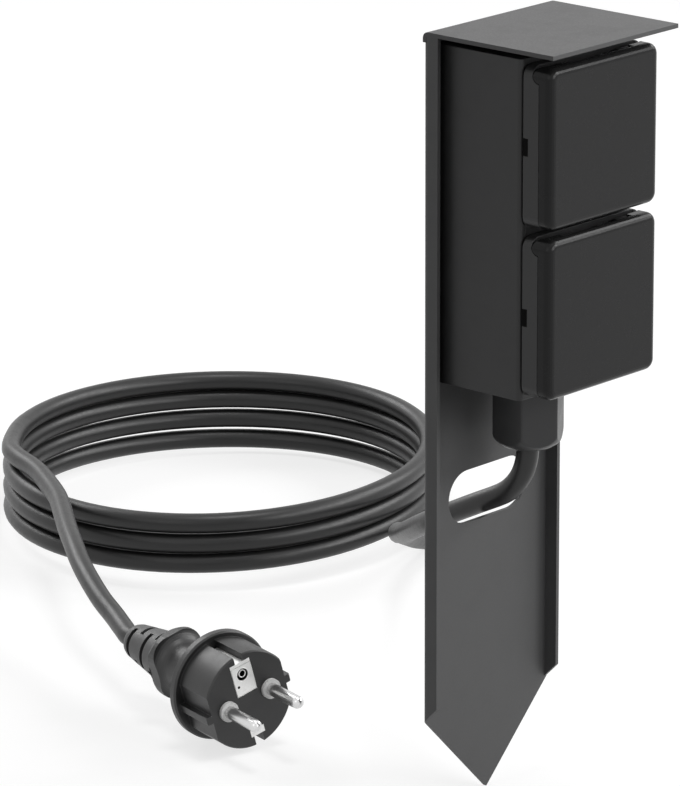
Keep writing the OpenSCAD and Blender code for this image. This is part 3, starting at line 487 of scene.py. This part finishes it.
def make_grain_group():
    """Fine moulded or sprayed grain on softly rounded edges: a normal, and a mask of its high spots."""
    group, given, result = new_group(
        "surface_grain",
        [
            ("Grain per Metre", "NodeSocketFloat", 1500), ("Depth", "NodeSocketFloat", 0.00002),
            ("Edge Radius", "NodeSocketFloat", 0.0003),
        ],
        [("Normal", "NodeSocketVector"), ("High Spots", "NodeSocketFloat")],
    )
    rounded = group.nodes.new("ShaderNodeBevel")
    rounded.samples = 6
    group.links.new(given.outputs["Edge Radius"], rounded.inputs["Radius"])
    place = object_place(group)
    fine = noise(group, place, given.outputs["Grain per Metre"], 3, 0.6)
    broad_scale = maths(group, "MULTIPLY", given.outputs["Grain per Metre"], 0.23)
    broad = noise(group, place, broad_scale, 2, 0.5)
    height = maths(group, "MULTIPLY_ADD", broad, 0.45, fine)
    bump = group.nodes.new("ShaderNodeBump")
    bump.inputs["Strength"].default_value = 0.6
    group.links.new(given.outputs["Depth"], bump.inputs["Distance"])
    group.links.new(height, bump.inputs["Height"])
    group.links.new(rounded.outputs["Normal"], bump.inputs["Normal"])
    group.links.new(bump.outputs["Normal"], result.inputs["Normal"])
    group.links.new(value_range(group, fine, 0.42, 0.62), result.inputs["High Spots"])
    return group


def make_rub_group():
    """A mask of the edges, where handling polishes a coat, broken up by noise."""
    group, given, result = new_group(
        "rubbed_edges",
        [("Reach", "NodeSocketFloat", 0.0006), ("Patchiness", "NodeSocketFloat", 0.6)],
        [("Mask", "NodeSocketFloat")],
    )
    rounded = group.nodes.new("ShaderNodeBevel")
    rounded.samples = 4
    group.links.new(given.outputs["Reach"], rounded.inputs["Radius"])
    surface = group.nodes.new("ShaderNodeNewGeometry")
    dot = group.nodes.new("ShaderNodeVectorMath")
    dot.operation = "DOT_PRODUCT"
    group.links.new(rounded.outputs["Normal"], dot.inputs[0])
    group.links.new(surface.outputs["Normal"], dot.inputs[1])
    edge = value_range(group, dot.outputs["Value"], 0.995, 0.80)
    patches = value_range(group, noise(group, object_place(group), 90, 4, 0.65), 0.35, 0.65)
    patchy = maths(group, "MULTIPLY", patches, given.outputs["Patchiness"])
    plain = maths(group, "SUBTRACT", 1, given.outputs["Patchiness"])
    group.links.new(maths(group, "MULTIPLY", edge, maths(group, "ADD", patchy, plain)), result.inputs["Mask"])
    return group


def make_cloud_group():
    """Slow uneven tone, as of a coat or moulding that isn't perfectly even."""
    group, given, result = new_group(
        "uneven_tone",
        [("Patches per Metre", "NodeSocketFloat", 25), ("Amount", "NodeSocketFloat", 0.1)],
        [("Factor", "NodeSocketFloat"), ("Smudge", "NodeSocketFloat")],
    )
    place = object_place(group)
    cloud = noise(group, place, given.outputs["Patches per Metre"], 5, 0.6)
    centred = maths(group, "SUBTRACT", cloud, 0.5)
    swing = maths(group, "MULTIPLY", centred, given.outputs["Amount"])
    group.links.new(maths(group, "MULTIPLY_ADD", swing, 2, 1), result.inputs["Factor"])
    smudge = noise(group, place, maths(group, "MULTIPLY", given.outputs["Patches per Metre"], 6), 3, 0.55)
    group.links.new(value_range(group, smudge, 0.45, 0.7), result.inputs["Smudge"])
    return group


def make_dust_group():
    """A mask of fine dust on what faces up."""
    group, given, result = new_group(
        "settled_dust", [("Amount", "NodeSocketFloat", 0.2)], [("Mask", "NodeSocketFloat")],
    )
    surface = group.nodes.new("ShaderNodeNewGeometry")
    parts = group.nodes.new("ShaderNodeSeparateXYZ")
    group.links.new(surface.outputs["Normal"], parts.inputs["Vector"])
    upward = value_range(group, parts.outputs["Z"], 0.1, 1.0)
    specks = value_range(group, noise(group, object_place(group), 1600, 5, 0.6), 0.3, 0.8)
    group.links.new(
        maths(group, "MULTIPLY", maths(group, "MULTIPLY", upward, specks), given.outputs["Amount"]),
        result.inputs["Mask"],
    )
    return group


grain_group = make_grain_group()
rub_group = make_rub_group()
cloud_group = make_cloud_group()
dust_group = make_dust_group()


def placed_group(tree, group, **values):
    """A group node in a material, with its own values."""
    node = tree.nodes.new("ShaderNodeGroup")
    node.node_tree = group
    for label, value in values.items():
        node.inputs[label.replace("_", " ")].default_value = value
    return node


def toned(tree, colour, factor):
    """A colour made lighter or darker by a factor that changes over the surface."""
    node = tree.nodes.new("ShaderNodeMix")
    node.data_type = "RGBA"
    node.blend_type = "MULTIPLY"
    node.inputs["Factor"].default_value = 1
    if isinstance(colour, tuple):
        node.inputs[6].default_value = (*colour, 1)
    else:
        tree.links.new(colour, node.inputs[6])
    tree.links.new(factor, node.inputs[7])
    return node.outputs[2]


def new_finish(name, metallic=0.0):
    """A new material with its node tree and its shader."""
    material = bpy.data.materials.new(name)
    material.use_nodes = True
    shader = material.node_tree.nodes["Principled BSDF"]
    shader.inputs["Metallic"].default_value = metallic
    return material, material.node_tree, shader


def moulded_finish(
    name, colour, roughness, grain=1500, depth=0.02, edge_colour=None, dust=0.0, tone=0.10, patches=25,
    reach=0.5, edge=0.3, gloss=0.5,
):
    """Plastic, rubber or coated metal: even colour with slow tone, grain, polished edges and dust."""
    material, tree, shader = new_finish(name)
    shader.inputs["Specular IOR Level"].default_value = gloss
    cloud = placed_group(tree, cloud_group, Patches_per_Metre=patches, Amount=tone)
    surface = toned(tree, colour, cloud.outputs["Factor"])
    if edge_colour:
        rub = placed_group(tree, rub_group, Reach=reach * MM)
        surface = mixed_colour(tree, rub.outputs["Mask"], surface, edge_colour)
    if dust:
        settled = placed_group(tree, dust_group, Amount=dust)
        surface = mixed_colour(tree, settled.outputs["Mask"], surface, DUST_COLOUR)
    tree.links.new(surface, shader.inputs["Base Color"])
    fine = placed_group(tree, grain_group, Grain_per_Metre=grain, Depth=depth * MM, Edge_Radius=edge * MM)
    tree.links.new(fine.outputs["Normal"], shader.inputs["Normal"])
    rough = maths(tree, "MULTIPLY_ADD", fine.outputs["High Spots"], -0.07, roughness + 0.03)
    rough = maths(tree, "MULTIPLY_ADD", cloud.outputs["Smudge"], 0.06, rough)
    tree.links.new(rough, shader.inputs["Roughness"])
    return material


def metal_finish(name, colour, roughness, grain=900, depth=0.006, dull=None, streaks=0.16, edge=0.12):
    """Bare or plated metal with a fine grain, softened edges and a slight dullness in patches."""
    material, tree, shader = new_finish(name, 1)
    scratches = noise(tree, object_place(tree), grain, 4, 0.6)
    cloud = placed_group(tree, cloud_group, Patches_per_Metre=60, Amount=0.07)
    surface = toned(tree, colour, cloud.outputs["Factor"])
    if dull:
        dullness = value_range(tree, cloud.outputs["Smudge"], 0.3, 1, 0, 0.5)
        surface = mixed_colour(tree, dullness, surface, dull)
    tree.links.new(surface, shader.inputs["Base Color"])
    rough = maths(tree, "MULTIPLY_ADD", scratches, streaks, roughness - streaks / 2)
    rough = maths(tree, "MULTIPLY_ADD", cloud.outputs["Smudge"], streaks / 2, rough)
    tree.links.new(rough, shader.inputs["Roughness"])
    rounded = tree.nodes.new("ShaderNodeBevel")
    rounded.samples = 6
    rounded.inputs["Radius"].default_value = edge * MM
    bump = tree.nodes.new("ShaderNodeBump")
    tree.links.new(rounded.outputs["Normal"], bump.inputs["Normal"])
    bump.inputs["Strength"].default_value = 0.5
    bump.inputs["Distance"].default_value = depth * MM
    tree.links.new(scratches, bump.inputs["Height"])
    tree.links.new(bump.outputs["Normal"], shader.inputs["Normal"])
    return material


def striped_insulation(name):
    """Green insulation with the yellow stripe of an earth core."""
    material, tree, shader = new_finish(name)
    wave = tree.nodes.new("ShaderNodeTexWave")
    wave.bands_direction = "DIAGONAL"
    wave.inputs["Scale"].default_value = 55
    wave.inputs["Distortion"].default_value = 0.4
    tree.links.new(object_place(tree), wave.inputs["Vector"])
    stripe = value_range(tree, wave.outputs["Fac"], 0.45, 0.55)
    surface = mixed_colour(tree, stripe, (0.06, 0.26, 0.05), (0.72, 0.60, 0.05))
    tree.links.new(surface, shader.inputs["Base Color"])
    fine = placed_group(tree, grain_group, Grain_per_Metre=3000, Depth=0.01 * MM)
    tree.links.new(fine.outputs["Normal"], shader.inputs["Normal"])
    rough = maths(tree, "MULTIPLY_ADD", fine.outputs["High Spots"], -0.1, 0.45)
    tree.links.new(rough, shader.inputs["Roughness"])
    return material


# Lengths in finishes are millimetres, grain and patches are per metre, colours are linear
finishes = {
    "powder_coat": moulded_finish(
        "powder_coat", (0.080, 0.080, 0.081), 0.52, grain=1500, depth=0.016,
        edge_colour=(0.084, 0.084, 0.085), dust=0.03, tone=0.04, patches=18, reach=0.3, edge=0.06,
        gloss=0.36),
    "housing_plastic": moulded_finish(
        "housing_plastic", (0.020, 0.020, 0.0204), 0.42, grain=2600, depth=0.010,
        edge_colour=(0.05, 0.05, 0.051), dust=0.02, tone=0.06, gloss=0.36, edge=0.5),
    "frame_plastic": moulded_finish(
        "frame_plastic", (0.0185, 0.0185, 0.0189), 0.40, grain=2600, depth=0.008,
        edge_colour=(0.05, 0.05, 0.051), dust=0.02, tone=0.06, gloss=0.36, edge=0.4),
    "lid_plastic": moulded_finish(
        "lid_plastic", (0.014, 0.014, 0.0143), 0.22, grain=3200, depth=0.0005,
        edge_colour=(0.014, 0.014, 0.0143), dust=0.01, tone=0.04, gloss=0.17),
    "insert_plastic": moulded_finish("insert_plastic", (0.020, 0.020, 0.021), 0.45, grain=2800, depth=0.014),
    "gland_nylon": moulded_finish(
        "gland_nylon", (0.036, 0.036, 0.037), 0.36, grain=2200, depth=0.008, edge_colour=(0.07, 0.07, 0.071),
        gloss=0.3, edge=1.4),
    "seal_rubber": moulded_finish("seal_rubber", (0.010, 0.010, 0.010), 0.62, grain=3200, depth=0.02),
    # A near-black, matt finish for painted shade: the notch tongues and the earth plate's dimple disc
    "painted_shade_black": moulded_finish(
        "painted_shade_black", (0.004, 0.004, 0.004), 0.80, grain=3200, depth=0.01, gloss=0.06),
    "cord_rubber": moulded_finish(
        "cord_rubber", (0.008, 0.008, 0.0082), 0.38, grain=2600, depth=0.008, dust=0.015, tone=0.10,
        patches=60, gloss=0.42),
    "plug_rubber": moulded_finish(
        "plug_rubber", (0.009, 0.009, 0.0093), 0.40, grain=2800, depth=0.008, edge_colour=(0.04, 0.04, 0.04),
        dust=0.02, tone=0.08, patches=45, reach=0.5, gloss=0.62),
    "relief_rubber": moulded_finish(
        "relief_rubber", (0.070, 0.070, 0.071), 0.46, grain=2800, depth=0.012, edge_colour=(0.13, 0.13, 0.13),
        dust=0.04, tone=0.08, patches=45, reach=0.6),
    "collar_plastic": moulded_finish("collar_plastic", (0.92, 0.92, 0.91), 0.35, grain=2600, depth=0.005),
    "brown_insulation": moulded_finish("brown_insulation", (0.16, 0.065, 0.03), 0.42, grain=3000, depth=0.01),
    "blue_insulation": moulded_finish("blue_insulation", (0.03, 0.11, 0.40), 0.42, grain=3000, depth=0.01),
    "striped_insulation": striped_insulation("striped_insulation"),
    "zinc_steel": metal_finish("zinc_steel", (0.62, 0.63, 0.65), 0.34, dull=(0.45, 0.46, 0.46)),
    "spring_steel": metal_finish("spring_steel", (0.60, 0.60, 0.61), 0.28, grain=1400),
    "nickel": metal_finish("nickel", (0.68, 0.68, 0.68), 0.28, grain=2600, depth=0.0001, streaks=0.03),
    "earth_metal": metal_finish(
        "earth_metal", (0.80, 0.80, 0.79), 0.36, dull=(0.66, 0.66, 0.65), depth=0.0015, streaks=0.10),
    "bright_metal": metal_finish("bright_metal", (0.96, 0.96, 0.95), 0.40, depth=0.0005, streaks=0.05),
    "contact_brass": metal_finish("contact_brass", (0.80, 0.60, 0.26), 0.28, dull=(0.55, 0.38, 0.17)),
}

# The finish of each slot of the model
SLOT_FINISH = {
    "post_coating": "powder_coat", "housing_plastic": "housing_plastic", "frame_plastic": "frame_plastic",
    "lid_plastic": "lid_plastic", "insert_plastic": "insert_plastic", "gland_plastic": "gland_nylon",
    "seal_rubber": "seal_rubber", "screw_steel": "zinc_steel", "hinge_steel": "spring_steel",
    "spring_steel": "spring_steel", "contact_brass": "contact_brass", "earth_metal": "earth_metal",
    "live_insulation": "brown_insulation", "neutral_insulation": "blue_insulation",
    "earth_insulation": "striped_insulation", "cord_rubber": "cord_rubber", "plug_rubber": "plug_rubber",
    "pin_nickel": "nickel", "collar_plastic": "collar_plastic",
}
for part in frame["record"]["subparts"]:
    dressed(frame["nodes"][part["node"]], finishes[SLOT_FINISH[part["material_slot"]]])
dressed(frame["nodes"]["plug_strain_relief"], finishes["relief_rubber"])
dressed(mains_cord, finishes["cord_rubber"])
for spring in springs:
    dressed(spring, finishes["spring_steel"])
# The notch tongues and the dimple disc take the near-black finish of painted shade
for small_form, finish_name in plug_forms + notch_shade_tabs:
    dressed(small_form, finishes[finish_name])
for core_name, core in cores.items():
    dressed(core, finishes[core_name.replace("_core", "_insulation")])


# Floor, surround and lamps
def seen_white(tree, strength):
    """A strength that is there for the camera, in reflections and through glass, and nowhere else."""
    rays = tree.nodes.new("ShaderNodeLightPath")
    seen = maths(tree, "ADD", rays.outputs["Is Camera Ray"], rays.outputs["Is Glossy Ray"])
    seen = maths(tree, "ADD", seen, rays.outputs["Is Transmission Ray"])
    return maths(tree, "MULTIPLY", maths(tree, "MINIMUM", seen, 1), strength)


def lay_floor():
    """A pale floor that takes the object's soft shadow and shows white."""
    plane = bmesh.new()
    bmesh.ops.create_grid(plane, x_segments=1, y_segments=1, size=6)
    bmesh.ops.translate(plane, verts=plane.verts, vec=(0, 0, -FLOOR_DROP))
    mesh = bpy.data.meshes.new("pale_floor")
    plane.to_mesh(mesh)
    plane.free()
    floor = bpy.data.objects.new("pale_floor", mesh)
    bpy.context.scene.collection.objects.link(floor)
    material = bpy.data.materials.new("floor_white")
    material.use_nodes = True
    tree = material.node_tree
    tree.nodes.clear()
    output = tree.nodes.new("ShaderNodeOutputMaterial")
    matt = tree.nodes.new("ShaderNodeBsdfDiffuse")
    matt.inputs["Color"].default_value = (FLOOR_GREY, FLOOR_GREY, FLOOR_GREY, 1)
    glow = tree.nodes.new("ShaderNodeEmission")
    glow.inputs["Color"].default_value = (1, 1, 1, 1)
    tree.links.new(seen_white(tree, FLOOR_GLOW), glow.inputs["Strength"])
    both = tree.nodes.new("ShaderNodeAddShader")
    tree.links.new(matt.outputs["BSDF"], both.inputs[0])
    tree.links.new(glow.outputs["Emission"], both.inputs[1])
    tree.links.new(both.outputs["Shader"], output.inputs["Surface"])
    mesh.materials.append(material)


def light_world():
    """An even pale surround, white to the camera and in reflections."""
    world = bpy.data.worlds.new("studio_surround")
    bpy.context.scene.world = world
    world.use_nodes = True
    tree = world.node_tree
    sky = tree.nodes["Background"]
    sky.inputs["Color"].default_value = (1, 1, 1, 1)
    tree.links.new(maths(tree, "MAXIMUM", seen_white(tree, 1), SURROUND_FILL), sky.inputs["Strength"])


def add_lamp(name, place, size, power):
    """A square soft lamp at a place, turned to the object."""
    lamp_data = bpy.data.lights.new(name, "AREA")
    lamp_data.size = size
    lamp_data.energy = power
    lamp = bpy.data.objects.new(name, lamp_data)
    lamp.location = place
    lamp.rotation_euler = (Vector(LAMP_AIM) - Vector(place)).to_track_quat("-Z", "Y").to_euler()
    bpy.context.scene.collection.objects.link(lamp)


lay_floor()
light_world()
# Each lamp's place, its side in metres and its power in watts
for lamp_name, lamp_place, lamp_size, lamp_power in (
    ("overhead_softbox", (0.1, -0.1, 1.8), 0.5, 8.5),
    ("front_softbox", (0.2, -2.0, 0.9), 0.9, 13),
    ("key_softbox", (1.3, -1.6, 1.2), 0.9, 20),
    ("side_softbox", (1.8, -0.5, 1.2), 0.9, 15),
    ("fill_softbox", (-1.8, -0.2, 1.0), 0.9, 2.6),
    ("rim_softbox", (0.3, 1.8, 1.2), 0.9, 13),
):
    add_lamp(lamp_name, lamp_place, lamp_size, lamp_power)
bpy.context.scene.view_settings.view_transform = "Standard"
